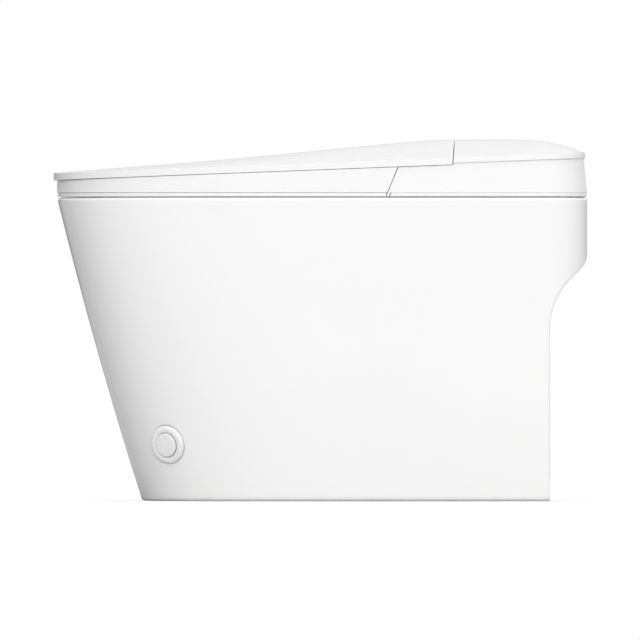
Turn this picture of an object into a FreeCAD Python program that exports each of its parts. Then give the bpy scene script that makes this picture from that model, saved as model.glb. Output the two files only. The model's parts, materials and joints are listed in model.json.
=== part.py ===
import FreeCAD, Part
import math
import os

from FreeCAD import Vector

# A tankless floor-standing bidet toilet. Millimetres, +Z up, front towards -Y, origin on the floor
# under the middle of the object. Names ending in FRONT, END or INSET are distances in front of the
# rear wall, names ending in SIDE are distances in from the side of the rim, unless a comment says
# otherwise.

# Overall plan. The nose is a pair of Bezier quarters, the sides are straight, the rear is squared.
LENGTH = 690.0
RIM_HALF_WIDTH = 189.0
NOSE_LENGTH = 250.0
NOSE_FULLNESS = 0.74
REAR_CORNER_R = 52.0

# Ceramic pedestal
RIM_Z = 392.0
RIM_SETBACK = 4.5
BASE_TIP_SETBACK = 114.5
BASE_TUCK = 8.0
FRONT_BOW = 3.4
SKIRT_WALL = 14.0
DECK_THICKNESS = 24.0
RIM_EDGE_R = 4.0
FOOT_EDGE_R = 5.0
REAR_RELIEF = 48.0
RELIEF_DROP = 74.0
RELIEF_CORNER_R = 25.0
RELIEF_FILLET_R = 90.0
SERVICE_SIDE = 64.0
SERVICE_OPENING_Z = 215.0
WELL_SIDE = 69.0
WELL_FRONT = 195.0
WELL_END = 30.0
WELL_CORNER_R = 20.0

# Bowl and trapway inside the pedestal. The bowl's front margin is measured from the front tip.
BOWL_SIDE = 67.0
BOWL_FRONT_MARGIN = 50.0
BOWL_END = 234.0
BOWL_DEPTH = 245.0
BOWL_WALL = 12.0
RIM_LIP = 7.0
RIM_LIP_DEPTH = 14.0
TRAP_R = 25.0
TRAP_WALL = 9.0
TRAP_BEND_R = 42.0
TRAP_START = 10.0
TRAP_STEP = 2.0
TRAP_DIP_RUN = 75.0
WEIR_RUN = 140.0
WEIR_RISE = 88.0
TRAP_BACK_RUN = 206.0
TRAP_BACK_DROP = 76.0
OUTLET_RISE = 44.0
ROUGH_IN = 305.0
WALL_GAP = 15.0
FOOT_WEB_THICKNESS = 26.0
FOOT_WEB_LENGTH = 130.0
FLOOR_BOLT_SPACING = 152.0
FLOOR_BOLT_HOLE_R = 6.0
GASKET_R = 52.0
GASKET_DEPTH = 14.0
GASKET_BORE_R = 28.0

# The bowl's hollow: share of its depth, of its half width and half length, and shift to the rear
# as a share of its half length
BOWL_STATIONS = (
    (0.00, 1.00, 1.00, 0.0),
    (0.12, 0.99, 0.985, 0.0),
    (0.37, 0.92, 0.87, 0.02),
    (0.61, 0.72, 0.64, 0.089),
    (0.84, 0.47, 0.39, 0.217),
    (1.00, 0.33, 0.24, 0.305),
)

# Heights of the seat, lid and rear unit above the rim
RIM_GAP = 1.0
LOWER_SHELL = 4.9
PARTING_GAP = 0.4
LID_FRONT_HEIGHT = 22.5
LID_SLOPE_DEG = 2.19
LID_GAP = 0.6
COVER_STEP = 2.0
BAND_HEIGHT = 8.7

# Lid and rear cover
LID_OVERHANG = 0.8
COVER_REAR_INSET = 2.5
LID_SKIN = 4.0
LID_LIP = 1.2
LID_LIP_REACH = 3.0
LID_LIP_SIDE = 10.0
LID_WALL = 6.0
LID_PANEL_RECESS = 1.2
LID_PANEL = 2.4
COVER_SKIN = 3.2
COVER_WALL = 5.0
SPLIT_INSET = 174.0
SPLIT_LEAN = 0.083
SPLIT_GAP = 1.0

# The crown of lid and cover: shares of the way and of the rise, to the peak and behind it
CROWN_PEAK_INSET = 185.0
CROWN_PEAK_RISE = 24.8
CROWN_TIP_RISE = 1.2
CROWN_LEAST_RISE = 0.3
CROWN_LEAST_HALF = 60.0
CROWN_OVERRUN = 12.0
CROWN_RAMP = ((0.0, 0.0), (0.2, 0.165), (0.42, 0.364), (0.64, 0.625), (0.85, 0.885), (1.0, 1.0))
CROWN_FALL = ((0.296, 0.931), (0.624, 0.806), (0.745, 0.67), (0.822, 0.54), (0.922, 0.30), (1.0, 0.0))
CROWN_STATIONS = (0.0, 0.012, 0.03, 0.06, 0.1, 0.15, 0.22, 0.32, 0.43, 0.54,
                  0.64, 0.73, 0.8, 0.86, 0.91, 0.95, 0.975, 1.0)

# Seat. The margin in front of its opening is measured from the front tip.
SEAT_HOLE_SIDE = 83.0
SEAT_HOLE_FRONT_MARGIN = 60.0
SEAT_HOLE_END = 336.0
SEAT_DISH = 8.0
SEAT_DISH_REACH = 58.0
SEAT_DISH_STATIONS = ((-0.25, 1.24), (0.0, 1.0), (0.45, 0.5), (1.0, 0.07))
SEAT_WALL = 5.0
SEAT_TOP_SKIN = 12.0
SEAT_TONGUE = 2.4
SEAT_HEATER = 0.8
SEAT_HEATER_MARGIN = 3.6
SEAT_END = 260.2
SEAT_REAR_LEAN = 0.41
SEAT_REAR_GAP = 1.1
BRIDGE_SIDE = 42.0
BRIDGE_END = 204.0
TUNNEL_HALF_WIDTH = 56.0
TUNNEL_HEIGHT = 17.5
TUNNEL_CORNER_R = 6.0
SHELL_STEP = 1.0

# Rubber pads, placed in front of the seat's rear end
BUMPER_R = 9.0
BUMPER_GAP = 0.2
SEAT_BUMPER_SIDE = 34.0
SEAT_BUMPER_PLACES = (165.0, 25.0)
LID_BUMPER_SIDE = 21.0
LID_BUMPER_PLACES = (195.0, 25.0)

# Rear housing and its base plate
HOUSING_WALL = 3.2
HOUSING_DRAFT = 4.0
CHIN_LENGTH = 3.4
CHIN_GAP = 1.0
CHIN_STEP = 0.5
SEAL_THICKNESS = 0.75
SEAL_SIDE = 6.0
SEAL_END_GAP = 0.4
PLATE_STEP = 0.4
HOUSING_GAP = 0.2
TROUGH_SIDE = 39.0
TROUGH_HEIGHT = 17.0
TROUGH_FLOOR = 3.0
BULKHEAD = 3.5
HUMP_HALF_WIDTH = 14.0
HUMP_HEIGHT = 27.0
WINDOW_INNER_X = 42.0
WINDOW_OUTER_X = 94.0
PLATE_LIP = 2.3
PLATE_LIP_HEIGHT = 6.0
PLATE_LIP_GAP = 0.7
DECK_GASKET_MARGIN = 12.0
DECK_GASKET_INSET = 2.0

# Hinge line shared by the seat and the lid
HINGE_INSET = 145.0
HINGE_HEIGHT = 60.0
HINGE_PIN_R = 3.0
HINGE_EYE_R = 6.0
PIN_OVERRUN = 3.0
PIN_HEAD = 2.5
ARM_THICKNESS = 8.0
ARM_WIDTH = 12.0
ARM_DROP = 35.0
SEAT_ARM_X = 52.0
SEAT_ARM_REACH = 20.0
LID_ARM_X = 84.0
LID_ARM_CLEARANCE = 18.0
LID_ARM_CHAMFER = 3.0
EAR_WIDTH = 8.0
EAR_HALF_FOOT = 10.0
BRACKET_HALF_FOOT = 15.0
BRACKET_FOOT = 4.0
SADDLE_HALF = 8.0
DAMPER_R = 9.0
DAMPER_LENGTH = 20.0
DAMPER_ARM_GAP = 4.0
RUNNING_GAP = 0.05
PRESS_GAP = 0.02

# Washing wand
WAND_R = 7.0
WAND_LENGTH = 140.0
WAND_TIP_INSET = 249.0
WAND_TILT_DEG = 11.0
WAND_TIP_LENGTH = 12.0
WAND_WALL = 2.5
WAND_SPIGOT = 5.0
JET_R = 1.2
CRADLE_WALL = 2.3
CRADLE_START = 8.0
CRADLE_LENGTH = 122.0
WAND_MOTOR_WIDTH = 36.0
WAND_MOTOR_LENGTH = 28.0
WAND_MOTOR_HEIGHT = 30.0

# Warm air dryer and night light
FAN_SIDE = 67.0
FAN_INSET = 75.0
FAN_R = 36.0
FAN_HEIGHT = 36.0
FAN_WALL = 2.5
FAN_COVER = 2.0
FAN_INLET_R = 18.0
FAN_SHAFT_R = 1.5
IMPELLER_R = 28.0
IMPELLER_LOW = 16.0
BLADE_COUNT = 16
BLADE_LENGTH = 12.0
BLADE_THICKNESS = 1.2
DUCT_HEIGHT = 6.6
DUCT_WALL = 1.2
OUTLET_X = 31.0
OUTLET_WIDTH = 28.0
FLAP_THICKNESS = 1.4
FLAP_HANG = 6.0
FLAP_PIN_R = 0.6
LENS_HEIGHT = 5.9
LENS_DEPTH = 5.0

# Foot button for the flush. Its place is measured from the front tip.
BUTTON_FROM_TIP = 148.5
BUTTON_Z = 72.8
BEZEL_R = 25.0
BEZEL_THICKNESS = 6.0
BEZEL_SEAT_DEPTH = 2.6
BEZEL_EDGE = 0.8
BEZEL_ROUND = 6.0
BEZEL_DISH = 0.6
CAP_R = 15.5
CAP_GAP = 0.4
CAP_PROUD = 2.0
CAP_EDGE_R = 1.8
CAP_DOME = 0.5
CAP_DEPTH = 12.0
STEM_R = 6.0
STEM_LENGTH = 14.0
STEM_GUIDE_WALL = 5.0
BUTTON_TRAVEL = 3.0
SLEEVE_R = 17.5
SLEEVE_LENGTH = 34.0
SWITCH_LENGTH = 16.0
NUT_RIM = 6.5
NUT_HEIGHT = 8.0

# Flush water, base plate bolts and supplies
SPOUT_R = 9.0
SPOUT_WALL = 2.5
SPOUT_SHIFT = 11.0
SPOUT_INSET = 261.0
SPOUT_DROP = 42.0
BASE_BOLT_R = 4.0
BASE_BOLT_HEAD_R = 7.0
BASE_BOLT_HEAD = 5.0
BASE_BOLT_DEPTH = 20.0
FRONT_BOLT_SIDE = 21.0
FRONT_BOLT_INSET = 205.0
REAR_BOLT_SIDE = 37.0
REAR_BOLT_INSET = 31.0
VALVE_SIDE = 112.0
VALVE_INSET = 111.0
VALVE_WIDTH = 58.0
VALVE_HEIGHT = 56.0
VALVE_HANGER = 16.0
VALVE_HANGER_R = 12.0
COIL_R = 13.0
COIL_LENGTH = 25.0
INLET_Z = 190.0
INLET_END_INSET = 61.0
INLET_PIPE_R = 8.0
INLET_BORE_R = 5.5
INLET_BEND_R = 22.0
INLET_THREAD_R = 10.4
INLET_THREAD_LENGTH = 16.0
INLET_COLLAR = 6.0
INLET_COLLAR_RIM = 3.0
PUMP_SIDE = 115.0
PUMP_INSET = 113.0
PUMP_R = 36.0
PUMP_HEIGHT = 35.0
PUMP_OUTLET_R = 9.0
PUMP_OUTLET_LENGTH = 22.0
PUMP_MOTOR_R = 26.0
PUMP_MOTOR_HEIGHT = 45.0
PUMP_MOUNT = 14.0
PUMP_MOUNT_R = 16.0
GLAND_SIDE = 94.0
GLAND_INSET = 45.0
GLAND_R = 9.0
GLAND_LENGTH = 22.0
GLAND_FLANGE = 4.0
CORD_HOLE_R = 4.0
HEATER_SIDE = 48.0
HEATER_FRONT = 150.0
HEATER_WIDTH = 66.0
HEATER_LENGTH = 105.0
HEATER_HEIGHT = 38.0
HEATER_EDGE_R = 6.0
HEATER_SPIGOT_R = 5.0
HEATER_SPIGOT_LENGTH = 12.0
TRAY_SIDE = 109.0
TRAY_FRONT = 67.0
TRAY_LENGTH = 52.0
TRAY_HEIGHT = 18.0
TRAY_WALL = 2.0
TRAY_FLOOR = 6.0
BOARD_THICKNESS = 1.6
BOARD_GAP = 0.3
CAPACITOR_R = 5.0
CAPACITOR_HEIGHT = 14.0
CAPACITOR_PLACES = (88.0, 102.0, 116.0)

# Blocks on the control board: place from its front left corner, width, depth and height
BOARD_BLOCKS = (
    (8.0, 6.0, 28.0, 24.0, 15.0),
    (48.0, 8.0, 16.0, 16.0, 4.0),
    (135.0, 5.0, 14.0, 37.0, 10.0),
)

# Places and sizes that follow from the above
FRONT_Y = -LENGTH / 2
REAR_Y = LENGTH / 2
RIM_TIP_Y = FRONT_Y + RIM_SETBACK
BASE_TIP_Y = FRONT_Y + BASE_TIP_SETBACK
BASE_HALF_WIDTH = RIM_HALF_WIDTH - BASE_TUCK
LID_HALF_WIDTH = RIM_HALF_WIDTH + LID_OVERHANG
COVER_REAR_Y = REAR_Y - COVER_REAR_INSET
OUTLET_Y = REAR_Y + WALL_GAP - ROUGH_IN
BOWL_HALF_WIDTH = RIM_HALF_WIDTH - BOWL_SIDE
BOWL_HALF_LENGTH = (LENGTH - BOWL_FRONT_MARGIN - BOWL_END) / 2
BOWL_CENTRE_Y = FRONT_Y + BOWL_FRONT_MARGIN + BOWL_HALF_LENGTH
DECK_LOW_Z = RIM_Z - DECK_THICKNESS
RELIEF_TOP_Z = RIM_Z - RELIEF_DROP
WELL_WIDTH = 2 * (RIM_HALF_WIDTH - WELL_SIDE)
WELL_FRONT_Y = REAR_Y - WELL_FRONT
WELL_REAR_Y = REAR_Y - WELL_END
UNIT_Z = RIM_Z + RIM_GAP
PARTING_Z = UNIT_Z + LOWER_SHELL
SLOPE = math.tan(math.radians(LID_SLOPE_DEG))
LID_FRONT_Z = RIM_Z + LID_FRONT_HEIGHT
SPLIT_Y = REAR_Y - SPLIT_INSET
LID_REAR_Y = SPLIT_Y - LID_LIP_REACH - LID_SKIN
CROWN_PEAK_Y = REAR_Y - CROWN_PEAK_INSET
SEAT_HOLE_HALF_WIDTH = RIM_HALF_WIDTH - SEAT_HOLE_SIDE
SEAT_HOLE_HALF_LENGTH = (LENGTH - SEAT_HOLE_FRONT_MARGIN - SEAT_HOLE_END) / 2
SEAT_HOLE_Y = FRONT_Y + SEAT_HOLE_FRONT_MARGIN + SEAT_HOLE_HALF_LENGTH
SEAT_REAR_Y = REAR_Y - SEAT_END
BRIDGE_HALF_WIDTH = RIM_HALF_WIDTH - BRIDGE_SIDE
BRIDGE_REAR_Y = REAR_Y - BRIDGE_END
TROUGH_HALF_WIDTH = RIM_HALF_WIDTH - TROUGH_SIDE
TROUGH_Z = RIM_Z + TROUGH_HEIGHT
HINGE_Y = REAR_Y - HINGE_INSET
HINGE_Z = RIM_Z + HINGE_HEIGHT
ARM_TOP_Z = HINGE_Z - ARM_DROP + ARM_THICKNESS / 2
ARM_LOW_Z = HINGE_Z - ARM_DROP - ARM_THICKNESS / 2
LID_ARM_FRONT_Y = BRIDGE_REAR_Y + LID_ARM_CLEARANCE
EAR_X = (SEAT_ARM_X + LID_ARM_X) / 2
DAMPER_END_X = SEAT_ARM_X - ARM_WIDTH / 2 - DAMPER_ARM_GAP
DAMPER_START_X = DAMPER_END_X - DAMPER_LENGTH
PIN_END_X = LID_ARM_X + ARM_WIDTH / 2 + PIN_OVERRUN
WAND_TIP_Y = REAR_Y - WAND_TIP_INSET
CRADLE_R = WAND_R + CRADLE_WALL
FAN_X = RIM_HALF_WIDTH - FAN_SIDE
FAN_Y = REAR_Y - FAN_INSET
FAN_AXIS = Vector(FAN_X, FAN_Y, PARTING_Z)
FLAP_Z = PARTING_Z + FLAP_HANG
BUTTON_Y = FRONT_Y + BUTTON_FROM_TIP
BEZEL_FACE = BEZEL_THICKNESS - BEZEL_SEAT_DEPTH
VALVE_X = VALVE_SIDE - RIM_HALF_WIDTH
VALVE_Y = REAR_Y - VALVE_INSET
VALVE_TOP_Z = UNIT_Z - VALVE_HANGER
SPOUT_START = Vector(VALVE_X + SPOUT_SHIFT, REAR_Y - SPOUT_INSET, RIM_Z - SPOUT_DROP)
INLET_END_Y = REAR_Y - INLET_END_INSET
PUMP_X = RIM_HALF_WIDTH - PUMP_SIDE
PUMP_Y = REAR_Y - PUMP_INSET
PUMP_MOTOR_LOW_Z = UNIT_Z - PUMP_MOUNT - PUMP_MOTOR_HEIGHT
HEATER_X = HEATER_SIDE - RIM_HALF_WIDTH
HEATER_FRONT_Y = REAR_Y - HEATER_FRONT
TRAY_HALF_WIDTH = RIM_HALF_WIDTH - TRAY_SIDE
TRAY_FRONT_Y = REAR_Y - TRAY_FRONT

# Reach of cutting blocks well past the object
SIDE = 2 * RIM_HALF_WIDTH
LOW = RIM_Z / 2
HIGH = 2 * RIM_Z


def box(x0, x1, y0, y1, z0, z1):
    """A block between two corners."""
    return Part.makeBox(x1 - x0, y1 - y0, z1 - z0, Vector(x0, y0, z0))


def rod(start, end, radius):
    """A round bar from one point to another."""
    return Part.makeCylinder(radius, (end - start).Length, start, end - start)


def both_sides(shape):
    """A shape together with its mirror image across the middle plane."""
    return Part.makeCompound([shape, shape.mirror(Vector(0, 0, 0), Vector(1, 0, 0))])


def side_prism(outline, x0, x1):
    """A Y-Z outline pushed along X."""
    points = [Vector(x0, y, z) for y, z in outline]
    face = Part.Face(Part.makePolygon(points + points[:1]))
    return face.extrude(Vector(x1 - x0, 0, 0))


def rounded_edges(points, radius, closed):
    """Straight runs joined by arcs of one radius at the corners."""
    count = len(points)
    corners = range(count) if closed else range(1, count - 1)
    arcs = {}
    for i in corners:
        back = (points[i - 1] - points[i]).normalize()
        ahead = (points[(i + 1) % count] - points[i]).normalize()
        half = back.getAngle(ahead) / 2
        reach = radius / math.tan(half)
        middle = (back + ahead).normalize() * (radius / math.sin(half) - radius)
        arcs[i] = (points[i] + back * reach, points[i] + middle, points[i] + ahead * reach)
    edges = []
    for i in range(count if closed else count - 1):
        after = (i + 1) % count
        start = arcs[i][2] if i in arcs else points[i]
        end = arcs[after][0] if after in arcs else points[after]
        if (end - start).Length > 0.001:
            edges.append(Part.LineSegment(start, end).toShape())
        if after in arcs:
            edges.append(Part.Arc(*arcs[after]).toShape())
    return edges


def nose_point(share, half_width, tip_y):
    """A point of the nose curve, from the tip at 0 to the straight side at 1."""
    rest = 1 - share
    x = half_width * (3 * rest * rest * share * NOSE_FULLNESS + 3 * rest * share ** 2 + share ** 3)
    run = 3 * rest * share ** 2 * (1 - NOSE_FULLNESS) + share ** 3
    return x, tip_y + NOSE_LENGTH * run


def nose_share(y, tip_y):
    """Where along the nose curve a given Y lies."""
    low = 0.0
    high = 1.0
    for _ in range(50):
        share = (low + high) / 2
        if nose_point(share, 1.0, tip_y)[1] < y:
            low = share
        else:
            high = share
    return low


def half_width_at(y, half_width, tip_y, rear_y, corner_r):
    """Half the width of a plan outline at one Y."""
    if y <= tip_y:
        return 0.0
    if y < tip_y + NOSE_LENGTH:
        return nose_point(nose_share(y, tip_y), half_width, tip_y)[0]
    into = y - (rear_y - corner_r)
    if into <= 0:
        return half_width
    return half_width - corner_r + math.sqrt(max(corner_r ** 2 - into ** 2, 0.0))


def plan_outline(half_width, tip_y, rear_y, corner_r, z):
    """Outline seen from above: blunt nose, straight sides, squared rear with round corners."""
    nose_end = tip_y + NOSE_LENGTH
    pull_x = NOSE_FULLNESS * half_width
    pull_y = nose_end - NOSE_FULLNESS * NOSE_LENGTH
    side_x = half_width - corner_r
    side_y = rear_y - corner_r
    mid = corner_r * math.sqrt(0.5)

    def nose(side):
        curve = Part.BezierCurve()
        curve.setPoles([Vector(0, tip_y, z), Vector(side * pull_x, tip_y, z),
                        Vector(side * half_width, pull_y, z), Vector(side * half_width, nose_end, z)])
        return curve.toShape()

    def corner(side):
        return Part.Arc(Vector(side * half_width, side_y, z),
                        Vector(side * (side_x + mid), side_y + mid, z),
                        Vector(side * side_x, rear_y, z)).toShape()

    def line(x0, y0, x1, y1):
        return Part.LineSegment(Vector(x0, y0, z), Vector(x1, y1, z)).toShape()

    edges = [nose(1), line(half_width, nose_end, half_width, side_y), corner(1),
             line(side_x, rear_y, -side_x, rear_y), corner(-1),
             line(-half_width, side_y, -half_width, nose_end), nose(-1)]
    return Part.Wire(Part.__sortEdges__(edges))


def plan_prism(half_width, tip_y, rear_y, corner_r, z0, z1):
    """A plan outline pushed up."""
    face = Part.Face(plan_outline(half_width, tip_y, rear_y, corner_r, z0))
    return face.extrude(Vector(0, 0, z1 - z0))


def oval(centre_y, half_width, half_length, z):
    """A level ellipse, longer along Y."""
    ellipse = Part.Ellipse(Vector(0, centre_y + half_length, z), Vector(half_width, centre_y, z),
                           Vector(0, centre_y, z))
    return Part.Wire(ellipse.toShape())


def oval_prism(centre_y, half_width, half_length, z0, z1):
    """A level ellipse pushed up."""
    return Part.Face(oval(centre_y, half_width, half_length, z0)).extrude(Vector(0, 0, z1 - z0))


def lid_plane(y):
    """Height of the lid's sloping underside."""
    return LID_FRONT_Z + SLOPE * (y - FRONT_Y)


def above_lid_plane(lift):
    """Everything above the lid's underside, moved up by a lift."""
    low = -LENGTH
    high = LENGTH
    outline = [(low, lid_plane(low) + lift), (high, lid_plane(high) + lift), (high, HIGH), (low, HIGH)]
    return side_prism(outline, -SIDE, SIDE)


def below_lid_plane(lift):
    """Everything below the lid's underside, moved up by a lift."""
    low = -LENGTH
    high = LENGTH
    outline = [(low, lid_plane(low) + lift), (high, lid_plane(high) + lift), (high, LOW), (low, LOW)]
    return side_prism(outline, -SIDE, SIDE)


def split_y(z):
    """The leaning line between lid and rear cover."""
    return SPLIT_Y + SPLIT_LEAN * (z - lid_plane(SPLIT_Y))


def seat_rear_y(z):
    """The leaning line at the rear of the seat."""
    return SEAT_REAR_Y + SEAT_REAR_LEAN * (z - UNIT_Z)


def before_line(line, shift):
    """Everything in front of a leaning line."""
    outline = [(-LENGTH, LOW), (line(LOW) + shift, LOW), (line(HIGH) + shift, HIGH), (-LENGTH, HIGH)]
    return side_prism(outline, -SIDE, SIDE)


def behind_line(line, shift):
    """Everything behind a leaning line."""
    outline = [(LENGTH, LOW), (line(LOW) + shift, LOW), (line(HIGH) + shift, HIGH), (LENGTH, HIGH)]
    return side_prism(outline, -SIDE, SIDE)


# Ceramic pedestal

def pedestal_tip(share):
    """Y of the front edge at a share of the rim's height, bowed a little outwards."""
    straight = BASE_TIP_Y + (RIM_TIP_Y - BASE_TIP_Y) * share
    return straight - 4 * FRONT_BOW * share * (1 - share)


def pedestal_half_width(share):
    """Half the width at a share of the rim's height."""
    return BASE_HALF_WIDTH + (RIM_HALF_WIDTH - BASE_HALF_WIDTH) * share


def pedestal_loft(inset, low, high):
    """The outer form, or the form inside its wall, between two shares of the rim's height."""
    sections = []
    for share in (low, (low + high) / 2, high):
        sections.append(plan_outline(pedestal_half_width(share) - inset, pedestal_tip(share) + inset,
                                     REAR_Y - inset, REAR_CORNER_R - inset, share * RIM_Z))
    return Part.makeLoft(sections, True, False)


def rear_relief():
    """The room behind the pedestal for pipes and skirting: upright, then an S up to the full depth."""
    foot_y = REAR_Y - REAR_RELIEF
    slant = math.sqrt(0.5)
    run = REAR_RELIEF - (RELIEF_CORNER_R + RELIEF_FILLET_R) * (1 - slant)
    corner_z = RELIEF_TOP_Z - RELIEF_CORNER_R * slant
    fillet_top_z = corner_z - run
    fillet_z = fillet_top_z - RELIEF_FILLET_R * slant

    def on_arc(centre_y, centre_z, radius, degrees):
        angle = math.radians(degrees)
        return Vector(-SIDE, centre_y + radius * math.cos(angle), centre_z + radius * math.sin(angle))

    fillet = [on_arc(foot_y + RELIEF_FILLET_R, fillet_z, RELIEF_FILLET_R, a) for a in (180, 157.5, 135)]
    corner = [on_arc(REAR_Y - RELIEF_CORNER_R, RELIEF_TOP_Z, RELIEF_CORNER_R, a) for a in (-45, -22.5, 0)]
    far = LENGTH
    under = -SKIRT_WALL
    bottom = Vector(-SIDE, foot_y, under)
    ends = [corner[2], Vector(-SIDE, far, RELIEF_TOP_Z), Vector(-SIDE, far, under), bottom, fillet[0]]
    edges = [Part.Arc(*fillet).toShape(), Part.LineSegment(fillet[2], corner[0]).toShape(),
             Part.Arc(*corner).toShape()]
    for start, end in zip(ends, ends[1:]):
        edges.append(Part.LineSegment(start, end).toShape())
    return Part.Face(Part.Wire(edges)).extrude(Vector(2 * SIDE, 0, 0))


def bowl_form(growth, top):
    """The bowl's hollow, or that hollow grown by the wall, as ovals from the rim down to the sump."""
    sections = []
    for depth, width, length, shift in BOWL_STATIONS:
        z = RIM_Z - top - (BOWL_DEPTH + growth - top) * depth
        sections.append(oval(BOWL_CENTRE_Y + BOWL_HALF_LENGTH * shift, BOWL_HALF_WIDTH * width + growth,
                             BOWL_HALF_LENGTH * length + growth, z))
    return Part.makeLoft(sections, True, False)


def trap_corners(end_z):
    """The trapway's way: out of the sump, up over the weir and down to the floor outlet."""
    sump_y = BOWL_CENTRE_Y + BOWL_HALF_LENGTH * BOWL_STATIONS[-1][3]
    sump_z = RIM_Z - BOWL_DEPTH + TRAP_R + TRAP_STEP
    weir_z = sump_z + WEIR_RISE
    corners = [(sump_y + TRAP_START, sump_z), (sump_y + TRAP_DIP_RUN, sump_z), (sump_y + WEIR_RUN, weir_z),
               (sump_y + TRAP_BACK_RUN, weir_z - TRAP_BACK_DROP),
               (OUTLET_Y, FOOT_WEB_THICKNESS + OUTLET_RISE), (OUTLET_Y, end_z)]
    return [Vector(0, y, z) for y, z in corners]


def spigot_top_z():
    """Where the trapway's last bend has come to the upright, above the foot."""
    before, corner, end = trap_corners(0)[-3:]
    turn = (corner - before).getAngle(end - corner)
    return corner.z - TRAP_BEND_R * math.tan(turn / 2)


def trap_pipe(radius, end_z):
    """A round bar along the trapway."""
    points = trap_corners(end_z)
    path = Part.Wire(rounded_edges(points, TRAP_BEND_R, False))
    profile = Part.Wire(Part.makeCircle(radius, points[0], Vector(0, 1, 0)))
    return path.makePipeShell([profile], True, True)


def wand_axis(distance):
    """A point on the wand's axis, this far behind its resting tip."""
    tilt = math.radians(WAND_TILT_DEG)
    return Vector(0, WAND_TIP_Y + distance * math.cos(tilt), RIM_Z + distance * math.sin(tilt))


def button_frame():
    """Placement of the flush button: origin on the wall, local Z along the wall's outward normal."""
    share = BUTTON_Z / RIM_Z

    def wall(t, s):
        x, y = nose_point(t, pedestal_half_width(s), pedestal_tip(s))
        return Vector(x, y, s * RIM_Z)

    along = nose_share(BUTTON_Y, pedestal_tip(share))
    step = 0.001
    around = wall(along + step, share) - wall(along - step, share)
    upward = wall(along, share + step) - wall(along, share - step)
    normal = around.cross(upward).normalize()
    return FreeCAD.Placement(wall(along, share), FreeCAD.Rotation(Vector(0, 0, 1), normal))


def on_button_axis(shape):
    """Move a shape made around local Z to the flush button's place."""
    shape.Placement = button_frame().multiply(shape.Placement)
    return shape


def inner_form():
    """The room inside the skirt's wall, from under the floor up through the rim."""
    room = pedestal_loft(SKIRT_WALL, -0.01, 1.01)
    return room.cut(rear_relief().translated(Vector(0, -SKIRT_WALL, 0)))


def ceramic_skirt():
    """Outer wall from the floor to the rim, set back behind and open there for the pipes."""
    wall = pedestal_loft(0, 0, 1)
    foot = [e for e in wall.Edges if e.BoundBox.ZMax < 0.01]
    wall = wall.makeFillet(FOOT_EDGE_R, foot)
    rim = [e for e in wall.Edges if e.BoundBox.ZMin > RIM_Z - 0.01]
    wall = wall.makeFillet(RIM_EDGE_R, rim)
    half_opening = RIM_HALF_WIDTH - SERVICE_SIDE
    inside_y = REAR_Y - REAR_RELIEF - SKIRT_WALL
    opening = box(-half_opening, half_opening, inside_y - SKIRT_WALL, LENGTH, -SKIRT_WALL, SERVICE_OPENING_Z)
    sleeve = on_button_axis(round_slice(SLEEVE_R + 0.3, -2 * SLEEVE_LENGTH, SLEEVE_LENGTH))
    bezel_seat = on_button_axis(round_slice(BEZEL_R + 0.4, -BEZEL_SEAT_DEPTH, SLEEVE_LENGTH))
    return wall.cut(rear_relief()).cut(inner_form()).cut([opening, sleeve, bezel_seat])


def ceramic_rim():
    """Rim and rear deck inside the skirt, with the bowl's opening, the well and the bolt holes."""
    plate = inner_form().common(box(-SIDE, SIDE, -LENGTH, LENGTH, DECK_LOW_Z, RIM_Z))
    mouth = oval_prism(BOWL_CENTRE_Y, BOWL_HALF_WIDTH - RIM_LIP, BOWL_HALF_LENGTH - RIM_LIP,
                       RIM_Z - RIM_LIP_DEPTH - 2, RIM_Z + 2)
    well = box(-WELL_WIDTH / 2, WELL_WIDTH / 2, WELL_FRONT_Y, WELL_REAR_Y, DECK_LOW_Z - 2, RIM_Z + 2)
    well = well.makeFillet(WELL_CORNER_R, [e for e in well.Edges if e.BoundBox.ZLength > 1])
    wand_way = rod(wand_axis(-CRADLE_START), wand_axis(CRADLE_LENGTH), CRADLE_R + 1.5)
    holes = [rod(bolt - Vector(0, 0, 2 * DECK_THICKNESS), bolt, BASE_BOLT_R + 0.5) for bolt in bolt_places()]
    return plate.cut(bowl_form(0, RIM_LIP_DEPTH)).cut([mouth, well, wand_way] + holes)


def ceramic_bowl():
    """Bowl from under the rim down to the sump, with the ways out to the trap and in from the spout."""
    bowl = bowl_form(BOWL_WALL, RIM_EDGE_R).common(box(-SIDE, SIDE, -LENGTH, LENGTH, 0, DECK_LOW_Z))
    spout_front = SPOUT_START - Vector(0, 2 * SPOUT_R, 0)
    spout = rod(spout_front, SPOUT_START + Vector(0, 8 * SPOUT_R, 0), SPOUT_R + 0.1)
    return bowl.cut(bowl_form(0, RIM_LIP_DEPTH)).cut([trap_pipe(TRAP_R, 0), spout])


def ceramic_trapway():
    """S-shaped pipe from the bowl's sump over the weir to the foot."""
    pipe = trap_pipe(TRAP_R + TRAP_WALL, spigot_top_z()).cut(trap_pipe(TRAP_R, 0))
    return pipe.cut(bowl_form(BOWL_WALL, RIM_EDGE_R))


def ceramic_foot():
    """Web across the skirt that stands on the floor, with the outlet's spigot and the floor bolt holes."""
    half = FOOT_WEB_LENGTH / 2
    web = box(-SIDE, SIDE, OUTLET_Y - half, OUTLET_Y + half, 0, FOOT_WEB_THICKNESS).common(inner_form())
    at = Vector(0, OUTLET_Y, 0)
    above = Vector(0, 0, spigot_top_z())
    under = Vector(0, 0, GASKET_DEPTH)
    cuts = [rod(at - under, at + above * 2, TRAP_R), rod(at - under, at + under, GASKET_R)]
    for side in (-1, 1):
        bolt = at + Vector(side * FLOOR_BOLT_SPACING / 2, 0, 0)
        cuts.append(rod(bolt - under, bolt + above * 2, FLOOR_BOLT_HOLE_R))
    return web.fuse(rod(at, at + above, TRAP_R + TRAP_WALL)).removeSplitter().cut(cuts)


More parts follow.
